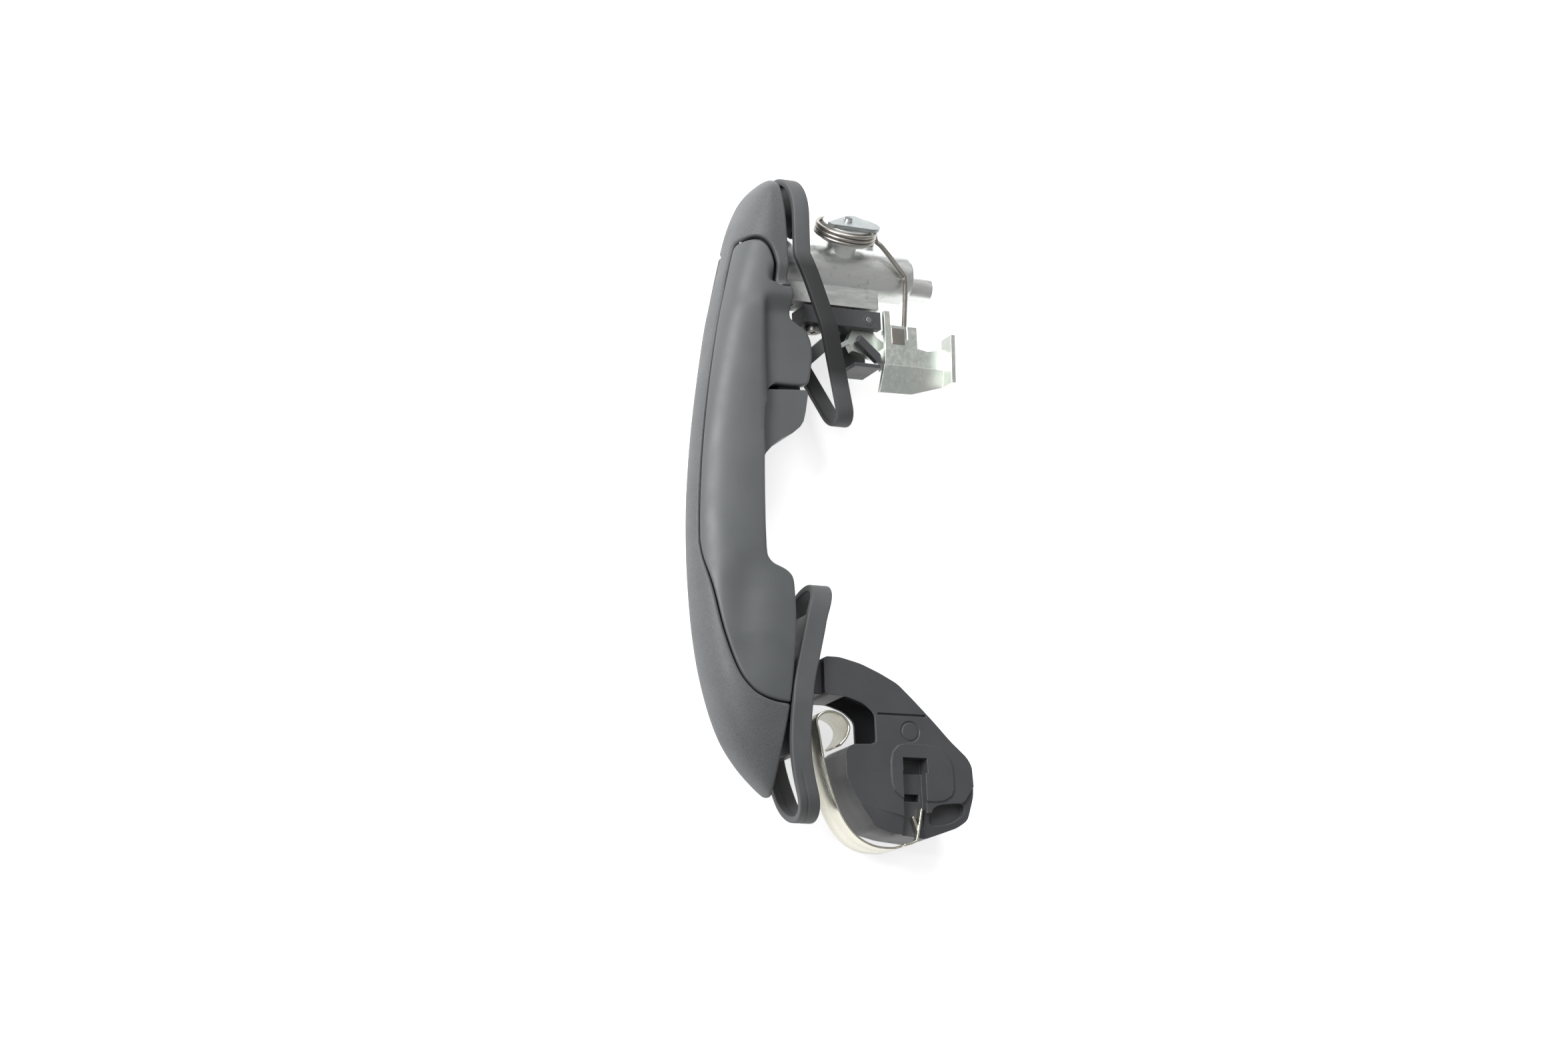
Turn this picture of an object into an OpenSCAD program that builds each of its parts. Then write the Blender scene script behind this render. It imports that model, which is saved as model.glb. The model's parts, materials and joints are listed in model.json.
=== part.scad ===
// Exterior car door handle: fixed grip, squeeze trigger, key lock and hooked front end.
// X runs along the car from the lock end to the hook end, Y runs into the door, Z is up.
// The origin is where the lock axis crosses the outer surface of the door skin.

/* [Shell] */
// Half width of the shell at the lock
cap_half_w = 15.2; // [14:0.1:17]
// Half width of the shell in the middle of the grip
grip_half_w = 13; // [12.5:0.1:15]
// Wall of the outer cover
cover_wall = 2.4; // [1.8:0.1:3]
// Side wall of the grip
grip_wall = 2.8; // [2.2:0.1:3]
// Gap at the parting line between cover and grip
part_gap = 0.5; // [0.3:0.1:0.8]
// Gap at the parting line round the cap
cap_gap = 1; // [0.5:0.1:1.2]
// Half width of the strip along the crown
strip_half_w = 5; // [4:0.1:6]

/* [Lock] */
// Outer radius of the lock housing
housing_r = 8.4; // [8.2:0.1:8.6]
// Distance from the door skin to the inner end of the housing
housing_end = 40.4; // [39:0.1:41]
// Radius of the plug that the key turns
plug_r = 6.5; // [6.3:0.1:6.5]
// Radial running clearance of the turning parts
run_fit = 0.05; // [0.03:0.01:0.1]
// Radius of the drive pin on the tailpiece
tail_r = 4.2; // [3.5:0.1:4.4]
// Offset of the drive pin from the lock axis
tail_off = 2.8; // [2:0.1:3]

/* [Mechanism] */
// Radius of the wire of the return spring
wire_r = 0.65; // [0.5:0.05:0.7]
// Mean radius of the coil of the return spring
coil_r = 9.8; // [9:0.1:10]
// Radius of the trigger pin
trigger_pin_r = 1.6; // [1.4:0.1:1.8]
// Radius of the bellcrank pin
crank_pin_r = 1.5; // [1.3:0.1:1.6]
// Thickness of the bellcrank sheet
sheet = 1.5; // [1.2:0.1:1.6]

/* [Seals] */
// Height of the rear seal
seal_t = 6; // [5:0.1:6.4]
// Wall of both seals
seal_w = 2.2; // [1.8:0.1:3]
// Tilt of the free leg of the rear seal
seal_tilt = 19.5; // [18:0.5:21]

/* [Hidden] */
$fn = 48;
eps = 0.01;

plastic = [0.17, 0.175, 0.19];
black = [0.05, 0.05, 0.055];
rubber = [0.2, 0.2, 0.21];
zinc = [0.8, 0.83, 0.81];
steel = [0.62, 0.61, 0.57];

// Pivots, as [x, y]
trigger_at = [40, -5];
crank_at = [17.4, 25.4];
plug_front = -19.2;
screw_hole_r = 1.3;
screw_r = 1.6;

// Direction of the spring post: radial on the lock housing, 40 degrees off the long axis
post_turn = 40.3;
post_y = 16;
post_seat = 11.4;
coil_turns = 3;
coil_pitch = 1.36;

// Crown of the shell: [x, y of the outermost point]
crown = [
    [-28.3, -8.6], [-26.6, -11.6], [-22, -15.9], [-12, -20.6], [0, -24.4], [15, -28.5], [30, -32],
    [50, -35.8], [70, -38.6], [90, -40.2], [110, -40.2], [130, -38.7], [146, -35.8], [159, -31.8],
    [168, -26.6], [175, -20.5], [179, -16]
];
// Plan of the shell: [x, half width]
plan = [
    [-28.3, 2.5], [-27, 6.6], [-22.5, 11.8], [-13, 14.6], [0, cap_half_w], [15, 14.7], [30, 13.8],
    [50, grip_half_w + 0.2], [75, grip_half_w], [100, grip_half_w + 0.3], [120, 13.9],
    [136, 13.6], [150, 12.2], [162, 9.8], [171, 6.8], [179, 1.5]
];
// Line behind the shell, seen along Z
back_line = [
    [11.8, -8], [13.6, -6.1], [21.8, -6.7], [23.6, -4], [25.5, -0.6], [29.2, 1.2], [34.4, 1.5],
    [41.5, 0.4], [44.6, -0.8], [44.6, -17.4], [101.8, -19.5], [105, -17.7], [107, -12.7],
    [109, -10.6], [112, -10.1], [126, -10.2], [150, -12.6], [166, -15.2], [180, -17]
];
// Parting line between the cap and the grip, then between the grip and the lower end
arch_line = [
    [11.4, -12.8], [6.3, -13], [2.5, -13.8], [-0.9, -15.5], [-3.1, -18.8], [-2.8, -23.1],
    [-0.6, -26.2], [3.6, -29], [8.6, -31.6]
];
tail_line = [
    [100, -39.6], [111.6, -36.8], [126.2, -33.9], [139.5, -29.6], [145.6, -25.5], [148.2, -21.5],
    [149.5, -17]
];

// Smooth curve through hand-set points (Catmull-Rom, 4 steps a span)
function pick(p, i) = p[max(0, min(len(p) - 1, i))];
function curve(p, n = 4) = [
    for (i = [0:len(p) - 2], k = [0:n - 1])
        let (t = k / n, a = pick(p, i - 1), b = p[i], c = p[i + 1], d = pick(p, i + 2))
            0.5 * ((2 * b) + (c - a) * t + (2 * a - 5 * b + 4 * c - d) * t * t
            + (3 * b - a - 3 * c + d) * t * t * t),
    p[len(p) - 1]
];
crown_fine = curve(crown);
plan_fine = curve(plan);
function crown_y(x) = lookup(x, crown_fine);
function half_w(x) = lookup(x, plan_fine);

// Stations along the shell: closer together at both ends
stations = [
    -28.3, -27.9, -27, -25.6, -23, -19.5, -15, -10, -5, 0, 6, 12, 18, 25, 32, 40, 48, 56, 64, 72, 80,
    88, 96, 104, 112, 120, 127, 134, 140, 146, 151, 156, 160, 164, 168, 171, 174, 176.5, 179
];
shell_start = -28.3;
shell_stop = 179;
side_end = 4;

// Where the section is widest: [x, y]
widest = [
    [-28.3, -7], [-24, -9.5], [-17, -12], [12, -12], [22, -15.5], [40, -16.6], [100, -17.5],
    [125, -19], [150, -19.5], [168, -17.5], [179, -15.5]
];
// How far the sides are sunk behind the grip, where the trigger comes out: [x, depth]
sunk = [[14.5, 0], [20, 3.3], [46, 3.3], [50, 0]];
sunk_from = 1;
sunk_to = 3.5;

// Cross section of the shell: a full dome over straight sides, inset on the sides and the crown
function dome(x, side, top) = [
    for (a = [-90:11.25:90])
        let (c = cos(a), s = sin(a), w = max(0.3, half_w(x) - side), wide = lookup(x, widest))
            let (h = max(0.3, wide - crown_y(x) - top))
                [sign(s) * w * pow(abs(s), 0.85), wide - h * pow(abs(c), 0.8)]
];

// Closed solid through a row of rings with the same number of points
module skin(rings) {
    n = len(rings);
    m = len(rings[0]);
    pts = [for (r = rings) each r];
    walls = [
        for (i = [0:n - 2], k = [0:m - 1])
            let (q = (k + 1) % m)
                each [[i * m + k, i * m + q, (i + 1) * m + q],
                    [i * m + k, (i + 1) * m + q, (i + 1) * m + k]]
    ];
    first = [for (k = [m - 1:-1:0]) k];
    last = [for (k = [0:m - 1]) (n - 1) * m + k];
    polyhedron(points = pts, faces = concat([first, last], walls), convexity = 6);
}

module shell_solid(side, top, from, to) {
    skin([
        for (x = stations)
            if (x >= from && x <= to)
                let (d = dome(x, side, top), w = d[len(d) - 1][0], y = lookup(x, widest))
                    let (v = max(0.3, w - lookup(x, sunk)))
                        concat([for (p = d) [x, p[1], p[0]]],
                            [[x, y + sunk_from, w], [x, y + sunk_to, v], [x, side_end, v],
                            [x, side_end, -v], [x, y + sunk_to, -v], [x, y + sunk_from, -w]])
    ]);
}

// Extrudes a side view (drawn in x and y) across the handle
module across(z0, z1) {
    translate([0, 0, z0]) linear_extrude(z1 - z0) children();
}

// Extrudes a plan view (drawn in x and z) into the door
module inward(y0, y1) {
    translate([0, y1, 0]) rotate([90, 0, 0]) linear_extrude(y1 - y0) children();
}

// Cylinder along Y
module rod_y(r, y0, y1, at = [0, 0], sides = 48) {
    translate([at[0], y0, at[1]]) rotate([-90, 0, 0]) cylinder(r = r, h = y1 - y0, $fn = sides);
}

// Cylinder along Z
module rod_z(r, z0, z1, at, sides = 48) {
    translate([at[0], at[1], z0]) cylinder(r = r, h = z1 - z0, $fn = sides);
}

module side_view() {
    polygon(concat([[-40, -60], [-40, -8]], back_line, [[190, -17], [190, -60]]));
}

module grip_view(gap) {
    offset(delta = gap)
        polygon(concat([[12.9, 20], [12.4, -10]], curve(arch_line, 3), [[9, -60], [95, -60]],
            curve(tail_line, 3), [[150, -12], [151, 20]]));
}

// Straight-sided rib that follows the crown, used for the strip and its groove
module crown_band(half, below, from, to) {
    skin([
        for (x = stations)
            if (x >= from && x <= to)
                let (y = crown_y(x))
                    [[x, y + below, -half], [x, y - 3, -half], [x, y - 3, half],
                    [x, y + below, half]]
    ]);
}

cover_boss_x = [-17, 158];
lock_room_y = -21.9;
boss_r = 3.4;

// The strip starts inside the cap's wall
strip_start = 5.5;

// Wall of the shell, without the part that the grip takes
module cover_skin(from, to, gap) {
    difference() {
        intersection() {
            shell_solid(0, 0, shell_start, shell_stop);
            across(-20, 20) side_view();
            across(-20, 20) polygon([[from, -60], [to, -60], [to, 10], [from, 10]]);
        }
        shell_solid(cover_wall, cover_wall, -25.6, 176.5);
        across(-20, 20) grip_view(gap);
    }
}

module cover_boss(x, y0, y1) {
    intersection() {
        rod_y(boss_r, y0, y1, [x, 0], 32);
        shell_solid(1, 1, shell_start, shell_stop);
    }
}

module outer_cover() {
    color(plastic)
        difference() {
            union() {
                cover_skin(-40, 50, cap_gap);
                cover_skin(50, 190, part_gap);
                intersection() {
                    shell_solid(0, 0, 0, 112);
                    crown_band(strip_half_w, cover_wall, 0, 112);
                    across(-20, 20) polygon([[strip_start, -60], [130, -60], [130, 10], [strip_start, 10]]);
                }
                cover_boss(cover_boss_x[0], -22, -10.5);
                cover_boss(cover_boss_x[1], -33, -15.4);
            }
            // Room for the lock behind the closed face of the cap
            rod_y(housing_r + 0.5, lock_room_y, 5, sides = 64);
            rod_y(screw_hole_r, -16.5, 0, [cover_boss_x[0], 0], 24);
            rod_y(screw_hole_r, -24, 0, [cover_boss_x[1], 0], 24);
        }
}

grip_boss_x = 14.5;
hook_boss = [131, 147];
hook_screw_x = [135, 143];
bush_r = 3;
bush_end = 9.1;

module grip_body() {
    color(plastic)
        difference() {
            union() {
                difference() {
                    intersection() {
                        shell_solid(0, 0, -10, 156);
                        across(-20, 20) side_view();
                        across(-20, 20) grip_view(0);
                    }
                    shell_solid(grip_wall, 5.6, -10, 156);
                }
                intersection() {
                    union() {
                        rod_y(boss_r, -30, -9.6, [grip_boss_x, 0], 32);
                        translate([hook_boss[0], -37, -12])
                            cube([hook_boss[1] - hook_boss[0], 37 - 14, 24]);
                    }
                    shell_solid(1, 4, -10, 156);
                    across(-20, 20) grip_view(0);
                }
            }
            crown_band(strip_half_w + 0.4, cover_wall + 0.5, 0, 156);
            rod_y(housing_r + 0.6, lock_room_y, 5, sides = 64);
            rod_z(bush_r + 0.1, -bush_end - 0.2, bush_end + 0.2, trigger_at, 32);
            // Room for the trigger when it is squeezed
            translate([43.8, -27.2, -10.1]) cube([32, 10.2, 20.2]);
            rod_y(screw_hole_r, -24, 0, [grip_boss_x, 0], 24);
            for (x = hook_screw_x)
                rod_y(screw_hole_r, -27, 0, [x, 0], 24);
        }
}

// Pan-head screw along Y: the head's seat is at y, the shank points outward
module screw_y(x, z, y, length, head_r = 3, head_h = 2) {
    difference() {
        union() {
            rod_y(head_r, y, y + head_h, [x, z]);
            rod_y(screw_hole_r - 0.05, y - length, y + eps, [x, z]);
        }
        for (a = [0, 90])
            translate([x, y + head_h, z]) rotate([0, a, 0]) cube([3.2, 2, 0.7], center = true);
    }
}

module cover_screws() {
    color(steel) screw_y(cover_boss_x[1], 0, -15.3, 8, 2.9);
}

module lock_bezel() {
    color(zinc)
        rotate([90, 0, 0])
            rotate_extrude()
                polygon([[plug_r + 0.35, 19.8], [8, 19.8], [8.3, 20.1], [8.3, 21],
                    [7.7, 21.6], [7.2, 21.6], [plug_r + 0.35, 21]]);
}

ear_y = [-9.4, -6.8];
// Boss for the door-edge screw: [y, z], its end along X, and its thread
edge_boss = [30, -6.6];
edge_boss_end = -15;
edge_thread_r = 2.5;
edge_thread_l = 8;
web_x = 13.6;
web_y = [-4.6, 29.2];

module housing_ear(x, towards) {
    inward(ear_y[0], ear_y[1]) {
        translate([x, 0]) circle(r = 4.6);
        translate([min(x, towards), -4.6]) square([abs(towards - x), 9.2]);
    }
}

module lock_housing() {
    color(zinc)
        difference() {
            union() {
                rod_y(housing_r, -19.6, housing_end, sides = 64);
                translate([5, web_y[0], -5]) cube([web_x - 5, web_y[1] - web_y[0], 10]);
                housing_ear(cover_boss_x[0], 0);
                housing_ear(grip_boss_x, 0);
                post_frame() cylinder(r = 5, h = post_seat);
                translate([edge_boss_end, edge_boss[0], edge_boss[1]])
                    rotate([0, 90, 0]) cylinder(r = 4.6, h = -edge_boss_end);
            }
            rod_y(plug_r + run_fit, -30, 36.4, sides = 64);
            rod_y(5, 30, 50);
            for (x = [cover_boss_x[0], grip_boss_x])
                rod_y(screw_r, -20, 0, [x, 0]);
            post_frame() translate([0, 0, 7.6]) cylinder(r = 1.5, h = 10);
            for (y = bracket_screw_y)
                translate([web_x - 6, y, 0]) rotate([0, 90, 0]) cylinder(r = 1.25, h = 10);
            // Threaded hole for the screw that comes through the edge of the door
            translate([edge_boss_end - 1, edge_boss[0], edge_boss[1]])
                rotate([0, 90, 0]) cylinder(r = edge_thread_r, h = 1 + edge_thread_l);
        }
}

module housing_screws() {
    color(steel) {
        screw_y(cover_boss_x[0], 0, ear_y[1], 9);
        screw_y(grip_boss_x, 0, ear_y[1], 9);
    }
}

slot_half = 1.3;
wafer_y = [-6, -1.5, 3, 7.5, 12, 16.5, 21];
wafer_t = 1.6;

module lock_plug() {
    color(steel)
        difference() {
            union() {
                rod_y(plug_r, plug_front, 36, sides = 64);
                rod_y(5 - run_fit, 36 - eps, housing_end + 0.3);
            }
            translate([-4.4, plug_front - 1, -slot_half]) cube([8.8, 44, 2 * slot_half]);
            rod_y(5.3, plug_front + 1.4, -9.5);
            for (y = wafer_y)
                translate([-6.1, y, -2.6]) cube([12.2, wafer_t + 0.2, 5.2]);
            translate([-8, shutter_at[0], shutter_at[1]])
                rotate([0, 90, 0]) cylinder(r = shutter_pin_r + 0.02, h = 16, $fn = 32);
            for (p = tail_screw_at)
                rod_y(0.75, 37, 50, p, 24);
        }
}

module wafers() {
    color([0.72, 0.6, 0.3])
        for (i = [0:len(wafer_y) - 1])
            translate([0, wafer_y[i] + 0.1, 0])
                difference() {
                    translate([-5.7, 0, -2.5]) cube([11.4, wafer_t, 5]);
                    translate([-3.2 + 0.3 * (i % 3), -1, -1.2]) cube([6, 4, 2.4]);
                }
}

// Hinge of the dust shutter, as [y, z]
shutter_at = [-16.2, -3.2];
shutter_pin_r = 0.45;

module shutter_pin() {
    color(steel)
        translate([-5, shutter_at[0], shutter_at[1]])
            rotate([0, 90, 0]) cylinder(r = shutter_pin_r, h = 10, $fn = 32);
}

module dust_shutter() {
    color(zinc)
        difference() {
            union() {
                translate([-3, -17.45, shutter_at[1]]) cube([6, 0.75, 5.9]);
                translate([-4.1, -17.45, -2]) cube([8.2, 0.75, 4.6]);
                translate([-3, shutter_at[0] - 0.3, shutter_at[1]])
                    rotate([0, 90, 0]) cylinder(r = 0.95, h = 6, $fn = 32);
            }
            translate([-8, shutter_at[0], shutter_at[1]])
                rotate([0, 90, 0]) cylinder(r = shutter_pin_r + 0.06, h = 16, $fn = 32);
        }
}

tail_screw_at = [[-3.3, -2.2], [-3.3, 2.2]];
tail_face = housing_end + 1.6;

module tailpiece() {
    color(zinc)
        difference() {
            union() {
                rod_y(7.2, housing_end + 0.4, tail_face, sides = 64);
                rod_y(tail_r, tail_face - 0.1, 50.6, [tail_off, 0], 64);
            }
            rod_y(2.2, 46, 60, [tail_off, 0]);
            for (p = tail_screw_at)
                rod_y(0.8, 40, 44, p, 24);
        }
}

module tail_screws() {
    color(steel)
        for (p = tail_screw_at)
            difference() {
                union() {
                    rod_y(1.3, tail_face, tail_face + 0.9, p, 32);
                    rod_y(0.7, 37.5, tail_face + eps, p, 24);
                }
                translate([p[0], tail_face + 0.9, p[1]]) cube([1.8, 0.7, 0.4], center = true);
            }
}

// Frame of the spring post: +Z of the children leads away from the lock axis
module post_frame() {
    translate([0, post_y, 0]) rotate([0, post_turn - 90, 0]) children();
}

// Ring in plan round three circles, each [x, radius]
module seal_ring(circles, wall) {
    difference() {
        hull() for (c = circles) translate([c[0], 0]) circle(r = c[1]);
        hull() for (c = circles) translate([c[0], 0]) circle(r = c[1] - wall);
    }
}

// Closed strip of even thickness along a line, seen along Z
module ribbon(line, t) {
    n = len(line);
    side = [
        for (i = [0:n - 1])
            let (d = unit(line[min(n - 1, i + 1)] - line[max(0, i - 1)])) [-d[1], d[0]] * t / 2
    ];
    polygon(concat([for (i = [0:n - 1]) line[i] + side[i]],
        [for (i = [n - 1:-1:0]) line[i] - side[i]]));
}

// Where the free leg of the rear seal starts to lean away from the shell
seal_bend_x = 2;
rear_plan = [[-13.2, 16], [22, 14.9], [47, 6.6]];

module rear_seal() {
    lean = tan(seal_tilt);
    mid = -seal_t / 2;
    color(rubber)
        intersection() {
            across(-20, 20)
                ribbon([[-40, mid], [seal_bend_x - 4, mid], [seal_bend_x + 1, mid + 0.9],
                    [seal_bend_x + 6, mid + 3.1], [70, mid + 3.1 + (64 - seal_bend_x) * lean]],
                    seal_t);
            inward(-12, 40) seal_ring(rear_plan, seal_w);
        }
}

// Middle line of the front seal, seen along Z
front_line = [
    [104, 5.2], [109, 3.6], [119, -0.5], [126, -2.6], [133, -4.7], [141, -7.1], [148, -8.5],
    [156, -9.1], [164, -9.1], [172, -7.9], [182, -5.2], [192, -2]
];
front_t = 7;
front_plan = [[119, 10.5], [149, 13], [176.4, 9.4]];

module front_seal() {
    color(rubber)
        intersection() {
            across(-20, 20) ribbon(curve(front_line, 2), front_t);
            inward(-30, 20) seal_ring(front_plan, seal_w);
        }
}

bar_x = [14.4, 20.4];
bar_y = [2, 29.8];
bracket_screw_y = [7, 14];
plate_x = [33, 34.2];

module pivot_bracket() {
    color(black)
        difference() {
            union() {
                translate([bar_x[0], bar_y[0], -5])
                    cube([bar_x[1] - bar_x[0], bar_y[1] - bar_y[0], 10]);
                translate([bar_x[0], 19, -7.6]) cube([plate_x[1] - bar_x[0], 9.4, 2.7]);
                translate([plate_x[0], 19, -7.6]) cube([plate_x[1] - plate_x[0], 9.4, 13.6]);
            }
            translate([bar_x[0] - 1, 20.4, -2]) cube([10, 20, 4]);
            rod_z(crank_pin_r + run_fit, -10, 10, crank_at);
            for (y = bracket_screw_y)
                translate([10, y, 0]) rotate([0, 90, 0]) cylinder(r = 1.6, h = 20);
        }
}

module bracket_screws() {
    color(steel)
        for (y = bracket_screw_y)
            translate([bar_x[1], y, 0])
                difference() {
                    union() {
                        rotate([0, 90, 0]) cylinder(r = 2.8, h = 1.8);
                        translate([-12, 0, 0]) rotate([0, 90, 0]) cylinder(r = 1.2, h = 12.1);
                    }
                    translate([1.8, 0, 0]) cube([1.6, 3, 0.7], center = true);
                    translate([1.8, 0, 0]) cube([1.6, 0.7, 3], center = true);
                }
}

module crank_pin() {
    color(steel)
        difference() {
            rod_z(crank_pin_r, -9.4, 4.4, crank_at);
            difference() {
                rod_z(crank_pin_r + 1, -8.9, -8.3, crank_at);
                rod_z(crank_pin_r - 0.4, -9, -8.2, crank_at);
            }
        }
}

module pin_clips() {
    color(steel)
        difference() {
            rod_z(3, -8.8, -8.4, crank_at);
            rod_z(crank_pin_r - 0.35, -10, -7, crank_at);
            translate([crank_at[0] - 1, crank_at[1], -10]) cube([2, 5, 3]);
        }
}

// Contact between trigger arm and bellcrank, on the line that joins the two pivots
nose_r = 2;
nose_gap = 0.4;
trigger_travel = 10;
crank_ratio = 1.4;
centre_line = crank_at - trigger_at;
centre_dist = norm(centre_line);
centre_angle = atan2(centre_line[1], centre_line[0]);
nose_dist = centre_dist * crank_ratio / (1 + crank_ratio);
function turn(p, a) = [p[0] * cos(a) - p[1] * sin(a), p[0] * sin(a) + p[1] * cos(a)];
nose_at = trigger_at + turn([nose_dist, 0], centre_angle + trigger_travel / 2);
face_turn = centre_angle + 90 - crank_ratio * trigger_travel / 2;

module crank_arm_view() {
    translate(crank_at)
        rotate(face_turn - 90) {
            translate([-centre_dist + nose_dist - 1.2, -nose_r - nose_gap - sheet, 0])
                square([centre_dist - nose_dist + 2.2, sheet]);
        }
}

module bellcrank() {
    color(zinc)
        difference() {
            union() {
                across(-sheet, sheet) {
                    translate(crank_at) circle(r = 3.2);
                    crank_arm_view();
                    polygon([[15, 23], [24, 19], [27.5, 20.5], [30, 31.6], [29.5, 34], [24.6, 34],
                        [22, 29.6], [19, 28]]);
                }
                // Step from the middle plane out to the band
                across(-sheet, 5.1) polygon([[26, 31.4], [33, 31.4], [33, 33], [26, 33]]);
                // Band with its crease and its curled end
                across(5.1 - sheet, 5.1)
                    polygon([[13.6, 31.1], [25.6, 31.1], [32.6, 30.6], [32.6, 54.4], [24.8, 54.4],
                        [26.4, 46.8], [25.7, 43], [18.4, 43], [18.4, 38.6], [20, 38.6],
                        [20, 33.2], [13.6, 33.2]]);
                translate([32.6, 0, 5.1])
                    rotate([0, 14, 0])
                        translate([-0.3, 0, -sheet])
                            linear_extrude(sheet)
                                polygon([[0, 30.4], [9.4, 29.2], [9.2, 41], [5.6, 53.2],
                                    [0, 54.4]]);
                across(5.1 - sheet, 10.4) polygon([[21.4, 53], [38, 52.4], [38, 53.9],
                    [21.4, 54.5]]);
                // Ledge that the leg of the spring hooks into
                translate([18.4, 33.4, -1.8]) cube([sheet, 9.6, 6.9]);
                translate([18.4, 41.5, -1.8]) cube([7.2, sheet, 6.9]);
            }
            rod_z(crank_pin_r + run_fit, -20, 20, crank_at);
            translate([15, 39.1, 3.6]) rotate([0, 90, 0]) cylinder(r = wire_r + 0.85, h = 8);
        }
}

module push_pad() {
    color(black)
        across(sheet + 0.1, 3.9)
            polygon([[22.4, 22.6], [24.8, 21.2], [31.4, 28.4], [31.2, 30.2], [28.6, 29.8]]);
}

module spring_post() {
    color(zinc)
        post_frame()
            difference() {
                union() {
                    translate([0, 0, post_seat]) cylinder(r = 8.2, h = 5.4);
                    translate([0, 0, 8]) cylinder(r = 1.45, h = 11);
                }
                translate([0, 0, 17.6]) cylinder(r = 0.7, h = 3, $fn = 24);
            }
}

// Wire path: the fixed leg, the coil, then the leg that ends in the bellcrank
function in_post(r, a, h) =
    let (u = r * cos(a), v = r * sin(a))
        [v * sin(post_turn) - h * cos(post_turn), post_y + u,
        v * cos(post_turn) + h * sin(post_turn)];
coil_low = post_seat + wire_r + 0.15;
coil_steps = 24;
coil_path = [
    for (i = [0:coil_turns * coil_steps])
        in_post(coil_r, i * 360 / coil_steps, coil_low + coil_pitch * (coil_turns - i / coil_steps))
];
wire_path = concat(
    [[19.9, 39.2, 3.3], [17, 38.9, 4.4], [6, 37.8, 8.6], [3.6, 37.3, 9.6], [1.8, 36.4, 10],
        [-6.5, 29.2, 10.2], [-8.6, 27, 10]],
    [for (i = [1:len(coil_path) - 1]) coil_path[i]],
    [in_post(coil_r, 372, coil_low - 0.1), in_post(coil_r - 0.2, 384, coil_low - 0.2)]
);

function unit(v) = v / norm(v);
function ring_at(p, i, r, sides) =
    let (n = len(p), t = unit(p[min(n - 1, i + 1)] - p[max(0, i - 1)]))
        let (a = unit(cross(t, [cos(post_turn), 0.35, -sin(post_turn)])), b = cross(t, a))
            [for (k = [0:sides - 1]) p[i] + r * (cos(360 * k / sides) * a + sin(360 * k / sides) * b)];

module tube(p, r, sides) {
    skin([for (i = [0:len(p) - 1]) ring_at(p, i, r, sides)]);
}

module torsion_spring() {
    color(steel) tube(wire_path, wire_r, 8);
}

module spring_plate() {
    color(zinc)
        post_frame()
            translate([0, 0, post_seat + 5.5])
                difference() {
                    rotate([0, 0, 90])
                        linear_extrude(1.2) {
                            polygon([[-8.6, -3.3], [-7, -5.2], [6.7, -5.8], [9.4, -4], [10.9, 0.4],
                                [9, 3], [7.8, 3.4], [5.2, 6.4], [2.6, 6.2]]);
                            translate([6.4, -1.2]) circle(r = 4.6);
                        }
                    translate([0, 0, -1]) cylinder(r = 1.5, h = 5);
                }
}

arm_half = 1.8;

module trigger() {
    half = 9.6;
    wall = 1.9;
    color(plastic)
        difference() {
            union() {
                difference() {
                    across(-half, half)
                        polygon([[47.6, -19.6], [46.9, -17], [45.7, -1.2], [47, -0.6], [53, -1.7],
                            [56.3, -2.6], [58.3, -3.9], [60.6, -6.6], [62.9, -10.8], [65.4, -14],
                            [68.1, -16.5], [72, -18.6], [71.4, -20.4]]);
                    across(wall - half, half - wall)
                        polygon([[49.6, -30], [48.9, -17], [47.9, -3], [55.4, -4.6], [57, -5.4],
                            [59, -7.8], [61.3, -12], [64, -15.4], [67, -18], [69.4, -19.2],
                            [69.4, -30]]);
                }
                across(-6, 6) {
                    translate(trigger_at) circle(r = 3.4);
                    polygon([[39, -8.4], [41, -1.6], [49.2, -1.6], [49.6, -10], [44, -9.4]]);
                }
                across(-arm_half, arm_half) {
                    translate(nose_at) circle(r = nose_r);
                    translate(trigger_at)
                        rotate(centre_angle + trigger_travel / 2)
                            translate([0, -nose_r]) square([nose_dist, 2 * nose_r]);
                }
            }
            rod_z(trigger_pin_r + run_fit, -20, 20, trigger_at);
        }
}

module trigger_pad() {
    color(black) across(-7.6, 7.6) polygon([[49.7, -12], [49.6, -10.1], [54, -10.1], [54, -12]]);
}

module trigger_pin() {
    color(steel) rod_z(trigger_pin_r, -bush_end, bush_end, trigger_at);
}

module pivot_bushes() {
    color(steel)
        for (s = [-1, 1])
            difference() {
                rod_z(bush_r, s > 0 ? 6.5 : -bush_end, s > 0 ? bush_end : -6.5, trigger_at);
                rod_z(trigger_pin_r, -20, 20, trigger_at);
            }
}

hook_half = 8;
neck_half = 5.6;

module hook_view() {
    polygon([[133.3, 1.4], [133.3, 7], [135.1, 14.5], [137.8, 21.1], [141, 27.4], [146.3, 33.1],
        [152.6, 39.5], [159, 45.6], [164, 51.2], [166.8, 52.8], [176.5, 53.2], [184.1, 51.3],
        [186.6, 47.5], [190.4, 36], [189.2, 24.6], [187.5, 17.8], [182, 13.4], [176.5, 9.8],
        [172, 7.6], [163.2, 7.6], [161.3, 10.2], [160.9, 18.8], [151, 18.8], [147.8, 15.1],
        [145.8, 9.2], [145.8, 1.4]]);
}

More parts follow.
